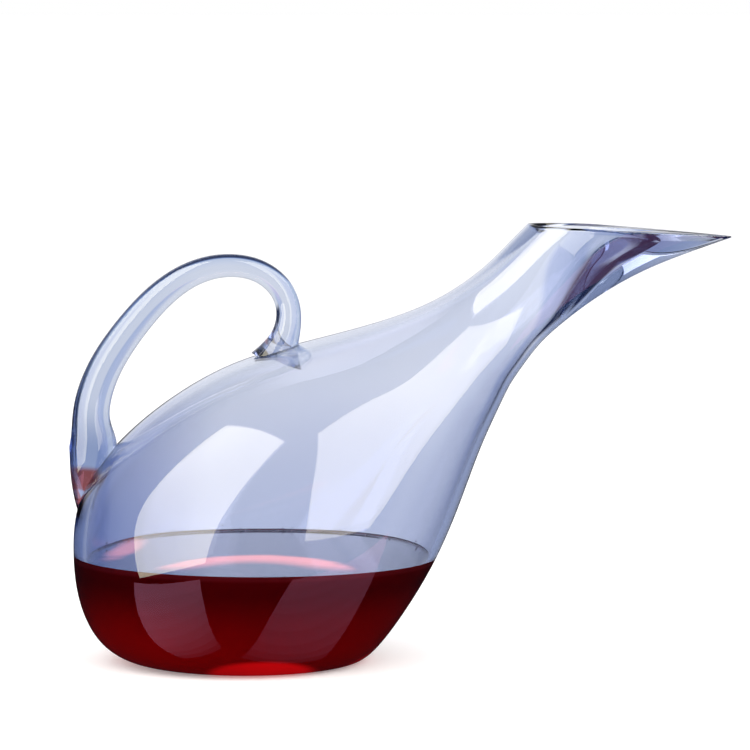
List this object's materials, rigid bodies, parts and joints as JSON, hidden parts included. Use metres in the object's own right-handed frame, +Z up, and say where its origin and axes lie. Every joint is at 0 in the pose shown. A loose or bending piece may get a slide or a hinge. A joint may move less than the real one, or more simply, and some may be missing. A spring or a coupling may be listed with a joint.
{
  "type": "wine decanter",
  "caption": "Clear blown-glass wine decanter in the shape of a duck, with a slanted neck and solid pouring tip, a glass rod handle, and red wine in it.",
  "frame": {"origin": "centre of the resting ring under the belly, on the surface the decanter stands on", "axes": "+X from the tail towards the pouring tip, +Y across to the left of someone who looks along +X, +Z up"},
  "size_m": [0.32, 0.1764, 0.2122],
  "materials": {
    "vessel_glass": "fire-polished",
    "handle_glass": "fire-polished",
    "red_wine": "still liquid"
  },
  "bodies": {
    "root": {"vessel": "vessel_glass", "handle": "handle_glass", "wine": "red_wine"}
  },
  "joints": []
}
